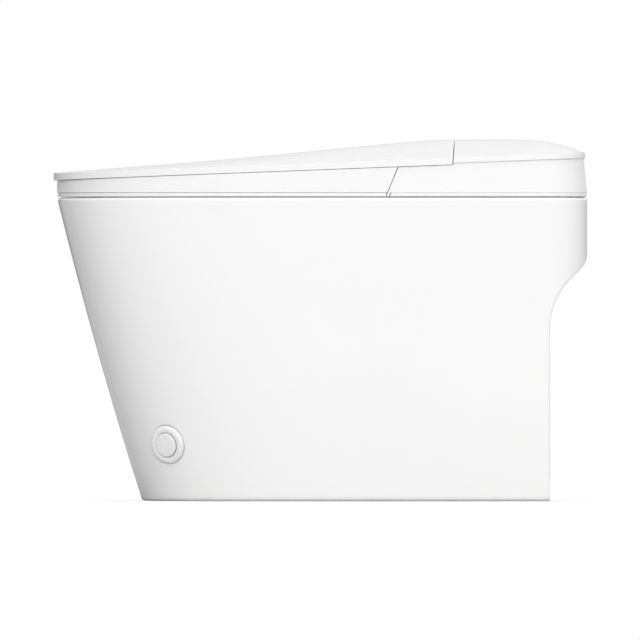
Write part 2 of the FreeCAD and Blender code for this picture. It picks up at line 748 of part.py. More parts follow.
def outlet_gasket():
    """Rubber ring in the foot that seals the outlet to the floor flange."""
    at = Vector(0, OUTLET_Y, 0)
    ring = Part.makeCylinder(GASKET_R - 0.2, GASKET_DEPTH, at)
    return ring.cut(Part.makeCylinder(GASKET_BORE_R, GASKET_DEPTH, at))


def bolt_places():
    """Where the base plate is bolted down, on top of the rim."""
    places = []
    for inward, inset in ((FRONT_BOLT_SIDE, FRONT_BOLT_INSET), (REAR_BOLT_SIDE, REAR_BOLT_INSET)):
        x = RIM_HALF_WIDTH - inward
        places += [Vector(x, REAR_Y - inset, RIM_Z), Vector(-x, REAR_Y - inset, RIM_Z)]
    return places


# Lid and rear cover

def crown_line():
    """Y and rise above the edge band along the middle of the crown, a little past both ends."""
    knots = []
    for along, share in CROWN_RAMP:
        y = FRONT_Y + (CROWN_PEAK_Y - FRONT_Y) * along
        knots.append(Vector(0, y, CROWN_TIP_RISE + (CROWN_PEAK_RISE - CROWN_TIP_RISE) * share))
    for along, share in CROWN_FALL:
        y = CROWN_PEAK_Y + (COVER_REAR_Y - CROWN_PEAK_Y) * along
        knots.append(Vector(0, y, CROWN_PEAK_RISE * share))
    curve = Part.BSplineCurve()
    curve.interpolate(knots)
    line = [(FRONT_Y - CROWN_OVERRUN, CROWN_TIP_RISE / 2)]
    for share in CROWN_STATIONS:
        point = curve.value(curve.FirstParameter + (curve.LastParameter - curve.FirstParameter) * share)
        line.append((point.y, point.z))
    line.append((COVER_REAR_Y + CROWN_OVERRUN / 2, -CROWN_OVERRUN / 3))
    return line


def crown_section(y, rise, drop):
    """One cross-section under the crown: an arc that meets the edge band at the plan outline."""
    half = max(half_width_at(y, LID_HALF_WIDTH, FRONT_Y, COVER_REAR_Y, REAR_CORNER_R), CROWN_LEAST_HALF)
    top_z = lid_plane(y) + BAND_HEIGHT + max(rise, CROWN_LEAST_RISE) + min(rise, 0.0) - drop
    rise = max(rise, CROWN_LEAST_RISE)
    radius = (half ** 2 + rise ** 2) / (2 * rise)
    reach = LID_HALF_WIDTH + CROWN_OVERRUN
    end_z = top_z - radius + math.sqrt(radius ** 2 - reach ** 2)
    left = Vector(-reach, y, end_z)
    right = Vector(reach, y, end_z)
    foot_left = Vector(-reach, y, DECK_LOW_Z)
    foot_right = Vector(reach, y, DECK_LOW_Z)
    edges = [Part.Arc(left, Vector(0, y, top_z), right).toShape()]
    for start, end in ((right, foot_right), (foot_right, foot_left), (foot_left, left)):
        edges.append(Part.LineSegment(start, end).toShape())
    return Part.Wire(edges)


def crown_body(drop):
    """Everything under the crowned top of lid and cover, lowered by a drop."""
    return Part.makeLoft([crown_section(y, rise, drop) for y, rise in crown_line()], True, False)


def lid_prism(inset):
    """Everything inside the plan outline of lid and cover."""
    return plan_prism(LID_HALF_WIDTH - inset, FRONT_Y + inset, COVER_REAR_Y - inset,
                      REAR_CORNER_R - inset, RIM_Z, HIGH)


def between_y(y0, y1):
    """Everything between two upright planes."""
    return box(-SIDE, SIDE, y0, y1, LOW, HIGH)


def lid_shell():
    """Crowned outer skin with its edge band, closed at the rear under a thin lip."""
    outer = crown_body(0).common(lid_prism(0)).common(above_lid_plane(0)).common(before_line(split_y, 0))
    void = crown_body(LID_SKIN).common(lid_prism(LID_WALL)).common(above_lid_plane(-1))
    shell = outer.cut(void.common(between_y(FRONT_Y, LID_REAR_Y)))
    side = LID_HALF_WIDTH - LID_LIP_SIDE
    slot = crown_body(LID_LIP).common(box(-side, side, SPLIT_Y - LID_LIP_REACH, REAR_Y, LOW, HIGH))
    return shell.cut(slot)


def lid_panel():
    """Flat inner panel let into the lid's underside."""
    panel = lid_prism(LID_WALL + 0.05).common(above_lid_plane(LID_PANEL_RECESS))
    panel = panel.common(below_lid_plane(LID_PANEL_RECESS + LID_PANEL))
    return panel.common(between_y(FRONT_Y, LID_REAR_Y - 0.05))


def lid_bumpers():
    """Rubber pads on which the closed lid rests on the seat."""
    pads = []
    for forward in LID_BUMPER_PLACES:
        at = Vector(RIM_HALF_WIDTH - LID_BUMPER_SIDE, SEAT_REAR_Y - forward, RIM_Z)
        pad = Part.makeCylinder(BUMPER_R, RIM_Z, at)
        pad = pad.common(above_lid_plane(BUMPER_GAP - LID_GAP)).common(below_lid_plane(LID_PANEL_RECESS))
        pads.append(both_sides(pad))
    return Part.makeCompound(pads)


def rear_cover():
    """Crowned top of the rear unit, with windows in its front wall for the hinge arms."""
    outer = crown_body(0).common(lid_prism(0)).common(above_lid_plane(COVER_STEP))
    outer = outer.common(behind_line(split_y, SPLIT_GAP))
    void = crown_body(COVER_SKIN).common(lid_prism(COVER_WALL)).common(above_lid_plane(COVER_STEP - 1))
    shell = outer.cut(void.common(behind_line(split_y, SPLIT_GAP + COVER_SKIN)))
    window = box(WINDOW_INNER_X, WINDOW_OUTER_X, SPLIT_Y - COVER_WALL, HINGE_Y, LOW, HIGH)
    return shell.cut(both_sides(crown_body(COVER_SKIN).common(window)))


# Seat

def tunnel(grow):
    """Passage under the rear of the seat for the wand, the warm air and the light."""
    half = TUNNEL_HALF_WIDTH + grow
    block = box(-half, half, SEAT_HOLE_Y, BRIDGE_REAR_Y, DECK_LOW_Z, RIM_Z + TUNNEL_HEIGHT + grow)
    upper = [e for e in block.Edges if e.BoundBox.YLength > 1 and e.BoundBox.ZMin > RIM_Z]
    return block.makeFillet(TUNNEL_CORNER_R, upper)


def seat_hole(grow):
    """The opening in the middle of the seat, or that opening grown by a wall."""
    half_width = SEAT_HOLE_HALF_WIDTH + grow
    return oval_prism(SEAT_HOLE_Y, half_width, SEAT_HOLE_HALF_LENGTH + grow, DECK_LOW_Z, HIGH)


def seat_prism(inset, z0, z1):
    """The seat's plan pushed up, cut off along its leaning rear."""
    prism = plan_prism(RIM_HALF_WIDTH - inset, RIM_TIP_Y + inset, REAR_Y - inset,
                       REAR_CORNER_R - inset, z0, z1)
    return prism.common(before_line(seat_rear_y, -inset))


def seat_dish():
    """The hollow that slopes from the seat's top down to its opening."""
    sections = []
    for depth, reach in SEAT_DISH_STATIONS:
        grow = SEAT_DISH_REACH * reach
        half_width = SEAT_HOLE_HALF_WIDTH + grow
        sections.append(oval(0, half_width, SEAT_HOLE_HALF_LENGTH + grow, -SEAT_DISH * depth))
    dish = Part.makeLoft(sections, True, False)
    dish.rotate(Vector(0, 0, 0), Vector(1, 0, 0), LID_SLOPE_DEG)
    dish.translate(Vector(0, SEAT_HOLE_Y, lid_plane(SEAT_HOLE_Y) - LID_GAP))
    return dish


def seat_void(inset, lift):
    """The hollow inside the upper shell, from below the parting line up to the heated skin."""
    void = seat_prism(SEAT_WALL + inset, PARTING_Z - 1, HIGH)
    void = void.common(below_lid_plane(lift - LID_GAP - SEAT_TOP_SKIN))
    return void.cut(seat_hole(SEAT_WALL + inset)).cut(tunnel(SEAT_WALL + inset))


def seat_upper_shell():
    """Dished sitting surface with the bridge that reaches back between the cheeks to the hinges."""
    ring = seat_prism(0, PARTING_Z + PARTING_GAP, HIGH)
    bridge = box(-BRIDGE_HALF_WIDTH, BRIDGE_HALF_WIDTH, SEAT_REAR_Y - SEAT_ARM_REACH, BRIDGE_REAR_Y,
                 ARM_TOP_Z, HIGH)
    seat = ring.fuse(bridge).common(below_lid_plane(-LID_GAP))
    return seat.cut([seat_hole(0), seat_dish(), seat_void(0, 0), tunnel(0)])


def seat_lower_shell():
    """Bottom of the seat with a tongue that locates the upper shell."""
    plate = seat_prism(SHELL_STEP, UNIT_Z, PARTING_Z).cut([seat_hole(0), tunnel(0)])
    outside = SEAT_WALL + 0.1
    tongue = seat_prism(outside, PARTING_Z, PARTING_Z + SEAT_TONGUE)
    tongue = tongue.cut(seat_prism(outside + SEAT_TONGUE, PARTING_Z - 1, HIGH))
    return plate.fuse(tongue.cut([seat_hole(outside), tunnel(outside)]))


def seat_heater():
    """Heating film under the sitting skin."""
    return seat_void(SEAT_HEATER_MARGIN, 0).common(above_lid_plane(-LID_GAP - SEAT_TOP_SKIN - SEAT_HEATER))


def seat_bumpers():
    """Rubber feet that carry the seat on the rim."""
    pads = []
    for forward in SEAT_BUMPER_PLACES:
        at = Vector(RIM_HALF_WIDTH - SEAT_BUMPER_SIDE, SEAT_REAR_Y - forward, RIM_Z + BUMPER_GAP)
        pads.append(both_sides(Part.makeCylinder(BUMPER_R, RIM_GAP - BUMPER_GAP, at)))
    return Part.makeCompound(pads)


# Hinges

def hinge_bore(radius, x0, x1):
    """A round bar on the hinge line."""
    return rod(Vector(x0, HINGE_Y, HINGE_Z), Vector(x1, HINGE_Y, HINGE_Z), radius)


def arm_with_eye(outline, middle_x):
    """A flat hinge arm with its round eye and running bore."""
    x0 = middle_x - ARM_WIDTH / 2
    x1 = middle_x + ARM_WIDTH / 2
    arm = side_prism(outline, x0, x1).fuse(hinge_bore(HINGE_EYE_R, x0, x1))
    return arm.removeSplitter().cut(hinge_bore(HINGE_PIN_R + RUNNING_GAP, x0 - 1, x1 + 1))


def seat_arms():
    """Goosenecks from the hinge, under the rear cover and up against the seat's bridge."""
    half = ARM_THICKNESS / 2
    front = SEAT_REAR_Y + SEAT_ARM_REACH
    outline = [(HINGE_Y + half, HINGE_Z), (HINGE_Y + half, ARM_LOW_Z + half), (HINGE_Y, ARM_LOW_Z),
               (front, ARM_LOW_Z), (front, ARM_TOP_Z), (HINGE_Y - half, ARM_TOP_Z), (HINGE_Y - half, HINGE_Z)]
    return both_sides(arm_with_eye(outline, SEAT_ARM_X))


def lid_arms():
    """Goosenecks like the seat's that rise in front of the split to the lid's inner panel."""
    half = ARM_THICKNESS / 2
    front = LID_ARM_FRONT_Y - half
    back = LID_ARM_FRONT_Y + half
    outline = [(HINGE_Y + half, HINGE_Z), (HINGE_Y + half, ARM_LOW_Z + half), (HINGE_Y, ARM_LOW_Z),
               (front + LID_ARM_CHAMFER, ARM_LOW_Z), (front, ARM_LOW_Z + LID_ARM_CHAMFER),
               (front, lid_plane(front) + LID_PANEL_RECESS),
               (back, lid_plane(back) + LID_PANEL_RECESS), (back, ARM_TOP_Z), (HINGE_Y - half, ARM_TOP_Z),
               (HINGE_Y - half, HINGE_Z)]
    return both_sides(arm_with_eye(outline, LID_ARM_X))


def hinge_bracket():
    """Foot on the base plate, an ear that holds the pin and a saddle for the damper."""
    foot_z = PARTING_Z + BRACKET_FOOT
    foot = box(DAMPER_START_X, EAR_X + EAR_WIDTH, HINGE_Y - BRACKET_HALF_FOOT, HINGE_Y + BRACKET_HALF_FOOT,
               PARTING_Z, foot_z)
    ear_x0 = EAR_X - EAR_WIDTH / 2
    ear_x1 = EAR_X + EAR_WIDTH / 2
    outline = [(HINGE_Y - EAR_HALF_FOOT, foot_z), (HINGE_Y + EAR_HALF_FOOT, foot_z),
               (HINGE_Y + HINGE_EYE_R, HINGE_Z), (HINGE_Y - HINGE_EYE_R, HINGE_Z)]
    ear = side_prism(outline, ear_x0, ear_x1).fuse(hinge_bore(HINGE_EYE_R, ear_x0, ear_x1))
    saddle = box(DAMPER_START_X + 2, DAMPER_END_X - 2, HINGE_Y - SADDLE_HALF, HINGE_Y + SADDLE_HALF,
                 foot_z, HINGE_Z - HINGE_PIN_R)
    bracket = foot.fuse([ear, saddle]).removeSplitter()
    pin_hole = hinge_bore(HINGE_PIN_R + PRESS_GAP, 0, RIM_HALF_WIDTH)
    return bracket.cut([pin_hole, hinge_bore(DAMPER_R + PRESS_GAP, 0, DAMPER_END_X)])


def hinge_pins():
    """Steel pins through the ears, each with a head outside the lid's arm."""
    pin = hinge_bore(HINGE_PIN_R, DAMPER_END_X, PIN_END_X)
    return both_sides(pin.fuse(hinge_bore(HINGE_EYE_R - 1, PIN_END_X - PIN_HEAD, PIN_END_X)).removeSplitter())


def hinge_dampers():
    """Rotary dampers on the hinge line that let seat and lid down slowly."""
    return both_sides(hinge_bore(DAMPER_R, DAMPER_START_X, DAMPER_END_X))


# Rear unit

def housing_loft(inset):
    """The rear unit's outline, drawn in a little towards its top."""
    low_z = PARTING_Z + HOUSING_GAP
    top_z = HINGE_Z + 10
    lean = HOUSING_DRAFT * (top_z - low_z) / (lid_plane(REAR_Y) - low_z)
    low = plan_outline(RIM_HALF_WIDTH - inset, RIM_TIP_Y, REAR_Y - inset, REAR_CORNER_R - inset, low_z)
    top = plan_outline(RIM_HALF_WIDTH - inset - lean / 2, RIM_TIP_Y, REAR_Y - inset - lean,
                       REAR_CORNER_R - inset, top_z)
    return Part.makeLoft([low, top], True, True)


def outlet_window(x, z0, z1):
    """Opening in the rear unit's front wall."""
    half = OUTLET_WIDTH / 2
    return box(x - half, x + half, SEAT_REAR_Y - HOUSING_WALL, SEAT_REAR_Y + 8 * HOUSING_WALL, z0, z1)


def housing_chin():
    """Tab that closes the corner of one cheek down to the ceramic, just behind the seat."""
    chin = plan_prism(RIM_HALF_WIDTH - CHIN_STEP, RIM_TIP_Y, REAR_Y, REAR_CORNER_R, UNIT_Z, PARTING_Z + 1)
    chin = chin.common(behind_line(seat_rear_y, SEAT_REAR_GAP))
    chin = chin.common(before_line(seat_rear_y, SEAT_REAR_GAP + CHIN_LENGTH))
    return chin.common(box(TROUGH_HALF_WIDTH, SIDE, -LENGTH, LENGTH, LOW, HIGH))


def cheek_seals():
    """Rubber strips on the cheeks towards the seat, and behind the tabs towards the base plate."""
    strip = behind_line(seat_rear_y, SEAT_REAR_GAP - SEAL_THICKNESS)
    strip = strip.common(before_line(seat_rear_y, SEAT_REAR_GAP))
    strip = strip.common(below_lid_plane(-LID_GAP - SEAL_END_GAP))
    plug = behind_line(seat_rear_y, SEAT_REAR_GAP + CHIN_LENGTH)
    plug = plug.common(before_line(seat_rear_y, SEAT_REAR_GAP + CHIN_LENGTH + CHIN_GAP))
    plug = plug.common(box(-SIDE, SIDE, -LENGTH, LENGTH, LOW, PARTING_Z))
    room = box(TROUGH_HALF_WIDTH, RIM_HALF_WIDTH - SEAL_SIDE, -LENGTH, LENGTH, UNIT_Z + SEAL_END_GAP, HIGH)
    pieces = both_sides(strip.common(room)).Solids + both_sides(plug.common(room)).Solids
    return Part.makeCompound(pieces)


def rear_housing():
    """Side and rear walls, the two cheeks beside the seat and the trough in which the hinge arms lie."""
    half = TROUGH_HALF_WIDTH
    bulkhead_y = SPLIT_Y + BULKHEAD
    body = housing_loft(0).common(behind_line(seat_rear_y, SEAT_REAR_GAP))
    body = body.common(below_lid_plane(COVER_STEP - 0.02))
    over_cheeks = above_lid_plane(-LID_GAP).common(between_y(-LENGTH, SPLIT_Y + SPLIT_GAP))
    hump = box(-HUMP_HALF_WIDTH, HUMP_HALF_WIDTH, 0, SPLIT_Y, RIM_Z, RIM_Z + HUMP_HEIGHT)
    trough = box(-half, half, 0, SPLIT_Y, TROUGH_Z, HIGH).cut(hump)
    inside = housing_loft(HOUSING_WALL)
    main = inside.common(between_y(bulkhead_y, REAR_Y))
    behind_front = inside.common(behind_line(seat_rear_y, SEAT_REAR_GAP + HOUSING_WALL))
    behind_front = behind_front.common(between_y(0, bulkhead_y + 1))
    cheek = behind_front.common(below_lid_plane(-LID_GAP - HOUSING_WALL))
    cheek = cheek.common(box(half + HOUSING_WALL, SIDE, 0, REAR_Y, LOW, HIGH))
    middle = half + HOUSING_WALL + 1
    under = behind_front.common(box(-middle, middle, 0, REAR_Y, LOW, TROUGH_Z - TROUGH_FLOOR))
    body = body.cut([over_cheeks, trough]).cut([main, both_sides(cheek), under])

    window = box(WINDOW_INNER_X, WINDOW_OUTER_X, SPLIT_Y - 1, bulkhead_y + 1, TROUGH_Z + 0.5, HIGH)
    wand_way = rod(wand_axis(-3 * CRADLE_START), wand_axis(CRADLE_LENGTH), CRADLE_R + 0.3)
    air = outlet_window(OUTLET_X, PARTING_Z, FLAP_Z + 1.3)
    light = outlet_window(-OUTLET_X, PARTING_Z, PARTING_Z + LENS_HEIGHT + 0.1)
    pin_reach = OUTLET_WIDTH / 2 + 2
    flap_pin = rod(flap_axis(-pin_reach), flap_axis(pin_reach), FLAP_PIN_R + RUNNING_GAP)
    body = body.fuse(both_sides(housing_chin()).Solids)
    return body.cut([both_sides(window), wand_way, air, light, flap_pin])


def plate_lip(inset):
    """Everything inside the rear housing's wall over the height of the base plate's lip."""
    return plan_prism(RIM_HALF_WIDTH - inset, RIM_TIP_Y, REAR_Y - inset, REAR_CORNER_R - inset,
                      PARTING_Z, PARTING_Z + PLATE_LIP_HEIGHT)


def base_plate():
    """Chassis plate of the rear unit, with a lip that locates the housing."""
    plate = plan_prism(RIM_HALF_WIDTH - PLATE_STEP, RIM_TIP_Y, REAR_Y - PLATE_STEP,
                       REAR_CORNER_R - PLATE_STEP, UNIT_Z, PARTING_Z)
    plate = plate.common(behind_line(seat_rear_y, SEAT_REAR_GAP + CHIN_LENGTH + CHIN_GAP))
    outside = HOUSING_WALL + PLATE_LIP_GAP
    lip = plate_lip(outside).cut(plate_lip(outside + PLATE_LIP))
    lip = lip.common(between_y(SEAT_REAR_Y + SEAT_ARM_REACH, REAR_Y))
    cuts = [rod(wand_axis(-3 * CRADLE_START), wand_axis(CRADLE_LENGTH), CRADLE_R + 0.1)]
    for bolt in bolt_places():
        cuts.append(rod(bolt, bolt + Vector(0, 0, DECK_THICKNESS), BASE_BOLT_R + 0.3))
    return plate.fuse(lip).removeSplitter().cut(cuts)


def deck_gasket():
    """Foam frame between base plate and ceramic around the well."""
    half = WELL_WIDTH / 2

    def around_well(grow, z0, z1):
        return box(-half - grow, half + grow, WELL_FRONT_Y - grow, WELL_REAR_Y + grow, z0, z1)

    frame = around_well(DECK_GASKET_MARGIN, RIM_Z, UNIT_Z)
    hole = around_well(DECK_GASKET_INSET, RIM_Z - 1, UNIT_Z + 1)
    return frame.cut([hole, rod(wand_axis(-3 * CRADLE_START), wand_axis(CRADLE_LENGTH), CRADLE_R + 1.5)])


def base_bolts():
    """Bolts through the base plate into the ceramic deck."""
    bolts = []
    head_z = PARTING_Z - RIM_Z
    for bolt in bolt_places():
        shank = rod(bolt - Vector(0, 0, BASE_BOLT_DEPTH), bolt + Vector(0, 0, head_z), BASE_BOLT_R)
        head = Part.makeCylinder(BASE_BOLT_HEAD_R, BASE_BOLT_HEAD, bolt + Vector(0, 0, head_z))
        bolts.append(shank.fuse(head).removeSplitter())
    return Part.makeCompound(bolts)


# Washing wand

def nozzle_cradle():
    """Guide tube of the wand on two feet."""
    tube = rod(wand_axis(CRADLE_START), wand_axis(CRADLE_START + CRADLE_LENGTH), CRADLE_R)
    feet = []
    for distance in (CRADLE_LENGTH - 20, CRADLE_LENGTH):
        at = wand_axis(distance)
        feet.append(box(-CRADLE_R, CRADLE_R, at.y - 4, at.y + 4, PARTING_Z, at.z))
    bore = rod(wand_axis(0), wand_axis(2 * CRADLE_LENGTH), WAND_R + RUNNING_GAP + 0.03)
    return tube.fuse(feet).removeSplitter().cut(bore)


def nozzle_wand():
    """Hollow tube that carries the water to the spray tip."""
    tube = rod(wand_axis(WAND_TIP_LENGTH), wand_axis(WAND_LENGTH), WAND_R)
    return tube.cut(rod(wand_axis(0), wand_axis(WAND_LENGTH - 2 * WAND_WALL), WAND_R - WAND_WALL))


def nozzle_tip():
    """Round-ended spray tip with two jets on its top and a spigot in the wand."""
    ball = Part.makeSphere(WAND_R, wand_axis(WAND_R))
    ball = ball.common(rod(wand_axis(-1), wand_axis(WAND_R), 2 * WAND_R))
    spigot_r = WAND_R - WAND_WALL - PRESS_GAP
    tip = ball.fuse([rod(wand_axis(WAND_R), wand_axis(WAND_TIP_LENGTH), WAND_R),
                     rod(wand_axis(WAND_R), wand_axis(WAND_TIP_LENGTH + WAND_SPIGOT), spigot_r)])
    jets = []
    for distance in (WAND_R - 1, WAND_R + 3):
        at = wand_axis(distance)
        jets.append(rod(at + Vector(0, 0, WAND_R / 3), at + Vector(0, 0, 2 * WAND_R), JET_R))
    return tip.removeSplitter().cut(jets)


def nozzle_motor():
    """Stepper motor behind the wand, with its drive wheel."""
    half = WAND_MOTOR_WIDTH / 2
    back = wand_axis(WAND_LENGTH + WAND_R).y
    top_z = PARTING_Z + WAND_MOTOR_HEIGHT
    body = box(-half, half, back, back + WAND_MOTOR_LENGTH, PARTING_Z, top_z)
    body = body.makeFillet(3.0, [e for e in body.Edges if e.BoundBox.ZLength > 1])
    wheel = Vector(0, back + WAND_MOTOR_LENGTH / 2, top_z)
    return body.fuse(rod(wheel, wheel + Vector(0, 0, 8), 8)).removeSplitter()


# Warm air dryer

def flap_axis(along):
    """A point on the flap's hinge line."""
    return Vector(OUTLET_X + along, seat_rear_y(FLAP_Z) + SEAT_REAR_GAP + FLAP_THICKNESS, FLAP_Z)


def fan_disc(radius, z0, z1):
    """A round slice on the fan's axis between two heights above the base plate."""
    return Part.makeCylinder(radius, z1 - z0, FAN_AXIS + Vector(0, 0, z0))


def fan_housing():
    """Round blower casing with its outlet spout towards the front."""
    half = OUTLET_WIDTH / 2
    spout = box(FAN_X - half, FAN_X + half, FAN_Y - FAN_R, FAN_Y, PARTING_Z, PARTING_Z + DUCT_HEIGHT + 2)
    passage = box(FAN_X - half + FAN_WALL, FAN_X + half - FAN_WALL, FAN_Y - FAN_R - 1, FAN_Y - FAN_R / 2,
                  PARTING_Z + FAN_WALL, PARTING_Z + DUCT_HEIGHT)
    casing = fan_disc(FAN_R, 0, FAN_HEIGHT).fuse(spout).removeSplitter()
    return casing.cut([fan_disc(FAN_R - FAN_WALL, FAN_WALL, FAN_HEIGHT + 1), passage])


def fan_cover():
    """Lid of the blower with its round air inlet."""
    inlet = fan_disc(FAN_INLET_R, 0, 2 * FAN_HEIGHT)
    return fan_disc(FAN_R, FAN_HEIGHT, FAN_HEIGHT + FAN_COVER).cut(inlet)


def fan_motor():
    """Motor on the floor of the blower, with its shaft."""
    top = IMPELLER_LOW - 2
    shaft = fan_disc(FAN_SHAFT_R, top, FAN_HEIGHT - 7)
    return fan_disc(IMPELLER_R / 2, FAN_WALL, top).fuse(shaft).removeSplitter()


def fan_impeller():
    """Hub, back plate and straight blades."""
    top = FAN_HEIGHT - 6
    hub = fan_disc(4 * FAN_SHAFT_R, IMPELLER_LOW, top)
    plate = fan_disc(IMPELLER_R, IMPELLER_LOW, IMPELLER_LOW + 1.5)
    tip_x = FAN_X + IMPELLER_R - 0.3
    half = BLADE_THICKNESS / 2
    blades = []
    for number in range(BLADE_COUNT):
        blade = box(tip_x - BLADE_LENGTH, tip_x, FAN_Y - half, FAN_Y + half,
                    PARTING_Z + IMPELLER_LOW + 1, PARTING_Z + top)
        blade.rotate(FAN_AXIS, Vector(0, 0, 1), 360.0 * number / BLADE_COUNT)
        blades.append(blade)
    wheel = hub.fuse([plate] + blades).removeSplitter()
    return wheel.cut(fan_disc(FAN_SHAFT_R + RUNNING_GAP, 0, FAN_HEIGHT))


def duct_outline(inset, ends):
    """Plan of the flat air duct from the blower to the outlet beside the wand."""
    half = OUTLET_WIDTH / 2 - inset
    back = FAN_Y - FAN_R + ends
    front = SEAT_REAR_Y + 11 - ends
    turn_back = HINGE_Y - 30
    turn_front = front + 27
    centre = [(FAN_X, back), (FAN_X, turn_back), (OUTLET_X, turn_front), (OUTLET_X, front)]
    right = [(x + half, y - inset * 0.5) for x, y in centre]
    left = [(x - half, y + inset * 0.5) for x, y in centre]
    right[0] = (FAN_X + half, back)
    left[0] = (FAN_X - half, back)
    right[3] = (OUTLET_X + half, front)
    left[3] = (OUTLET_X - half, front)
    return right + left[::-1]


def duct_block(inset, ends, z0, z1):
    """The duct's plan pushed up."""
    points = [Vector(x, y, z0) for x, y in duct_outline(inset, ends)]
    return Part.Face(Part.makePolygon(points + points[:1])).extrude(Vector(0, 0, z1 - z0))


def dryer_duct():
    """Flat closed duct on the base plate."""
    low = PARTING_Z + 0.2
    high = low + DUCT_HEIGHT
    return duct_block(0, 0, low, high).cut(duct_block(DUCT_WALL, 5, low + DUCT_WALL, high - DUCT_WALL))


def dryer_flap():
    """Flap over the warm air outlet, hung from its top edge."""
    half = OUTLET_WIDTH / 2 - 0.5
    top_y = flap_axis(0).y
    low_z = PARTING_Z + FLAP_THICKNESS
    low_y = top_y + (low_z - FLAP_Z) * SEAT_REAR_LEAN
    thick = FLAP_THICKNESS / 2
    outline = [(top_y - thick, FLAP_Z), (top_y + thick, FLAP_Z),
               (low_y + thick, low_z), (low_y - thick, low_z)]
    plate = side_prism(outline, OUTLET_X - half, OUTLET_X + half)
    barrel = rod(flap_axis(-half), flap_axis(half), FLAP_PIN_R + 0.4)
    pin = rod(flap_axis(-half - 2), flap_axis(half + 2), FLAP_PIN_R)
    return plate.fuse([barrel, pin]).removeSplitter()


def night_light_lens():
    """Clear window in the rear unit's front wall that lights the bowl."""
    half = OUTLET_WIDTH / 2 - 0.1
    lens = outlet_window(-OUTLET_X, PARTING_Z, PARTING_Z + LENS_HEIGHT)
    lens = lens.common(behind_line(seat_rear_y, SEAT_REAR_GAP))
    lens = lens.common(before_line(seat_rear_y, SEAT_REAR_GAP + LENS_DEPTH))
    return lens.common(box(-OUTLET_X - half, -OUTLET_X + half, 0, REAR_Y, LOW, HIGH))


# Water and electrics

def water_heater():
    """Instant heater with two hose spigots."""
    x0 = HEATER_X - HEATER_WIDTH / 2
    top_z = PARTING_Z + HEATER_HEIGHT
    block = box(x0, x0 + HEATER_WIDTH, HEATER_FRONT_Y, HEATER_FRONT_Y + HEATER_LENGTH, PARTING_Z, top_z)
    edges = [e for e in block.Edges if e.BoundBox.ZMin > PARTING_Z + 1 or e.BoundBox.ZLength > 1]
    block = block.makeFillet(HEATER_EDGE_R, edges)
    spigots = []
    for share in (0.3, 0.7):
        at = Vector(x0 + HEATER_WIDTH * share, HEATER_FRONT_Y, PARTING_Z + HEATER_HEIGHT / 2)
        spigots.append(rod(at + Vector(0, 2, 0), at - Vector(0, HEATER_SPIGOT_LENGTH, 0), HEATER_SPIGOT_R))
    return block.fuse(spigots).removeSplitter()


def tray_block(inset, z0, z1):
    """The control board tray's plan, drawn in by an inset, between two heights above the base plate."""
    half = TRAY_HALF_WIDTH - inset
    return box(-half, half, TRAY_FRONT_Y + inset, TRAY_FRONT_Y + TRAY_LENGTH - inset,
               PARTING_Z + z0, PARTING_Z + z1)


def board_tray():
    """Open tray for the control board."""
    return tray_block(0, 0, TRAY_HEIGHT).cut(tray_block(TRAY_WALL, TRAY_FLOOR, 2 * TRAY_HEIGHT))


def circuit_board():
    """Control board with its transformer, processor, socket row and capacitors."""
    board = tray_block(TRAY_WALL + BOARD_GAP, TRAY_FLOOR, TRAY_FLOOR + BOARD_THICKNESS)
    corner = Vector(board.BoundBox.XMin, board.BoundBox.YMin, board.BoundBox.ZMin + BOARD_THICKNESS / 2)
    pieces = []
    for x, y, width, depth, height in BOARD_BLOCKS:
        pieces.append(Part.makeBox(width, depth, height, corner + Vector(x, y, 0)))
    for x in CAPACITOR_PLACES:
        at = corner + Vector(x, TRAY_LENGTH / 2, 0)
        pieces.append(Part.makeCylinder(CAPACITOR_R, CAPACITOR_HEIGHT, at))
    return board.fuse(pieces).removeSplitter()


def flush_pump():
    """Pump chamber that drives the flush."""
    low = PUMP_MOTOR_LOW_Z - PUMP_HEIGHT
    chamber = Part.makeCylinder(PUMP_R, PUMP_HEIGHT, Vector(PUMP_X, PUMP_Y, low))
    chamber = chamber.makeFillet(5.0, [e for e in chamber.Edges if e.BoundBox.ZLength < 0.1])
    outlet = Vector(PUMP_X, PUMP_Y - PUMP_R + 4, low + PUMP_HEIGHT / 2)
    outlet_end = outlet - Vector(0, PUMP_OUTLET_LENGTH, 0)
    return chamber.fuse(rod(outlet, outlet_end, PUMP_OUTLET_R)).removeSplitter()


def pump_motor():
    """Motor above the pump, hung from the base plate."""
    motor = Part.makeCylinder(PUMP_MOTOR_R, PUMP_MOTOR_HEIGHT, Vector(PUMP_X, PUMP_Y, PUMP_MOTOR_LOW_Z))
    mount = Part.makeCylinder(PUMP_MOUNT_R, PUMP_MOUNT, Vector(PUMP_X, PUMP_Y, UNIT_Z - PUMP_MOUNT))
    return motor.fuse(mount).removeSplitter()


def flush_valve():
    """Valve block hung from the base plate."""
    half = VALVE_WIDTH / 2
    block = box(VALVE_X - half, VALVE_X + half, VALVE_Y - half, VALVE_Y + half,
                VALVE_TOP_Z - VALVE_HEIGHT, VALVE_TOP_Z)
    block = block.makeFillet(5.0, [e for e in block.Edges if e.BoundBox.ZLength > 1])
    hanger = Part.makeCylinder(VALVE_HANGER_R, VALVE_HANGER, Vector(VALVE_X, VALVE_Y, VALVE_TOP_Z))
    return block.fuse(hanger).removeSplitter()


def valve_coil():
    """Solenoid on the back of the valve, on a short neck."""
    start = Vector(VALVE_X, VALVE_Y + VALVE_WIDTH / 2, VALVE_TOP_Z - VALVE_HEIGHT / 2)
    shoulder = start + Vector(0, 5, 0)
    coil = rod(shoulder, shoulder + Vector(0, COIL_LENGTH, 0), COIL_R)
    return rod(start, shoulder, COIL_R - 4).fuse(coil).removeSplitter()


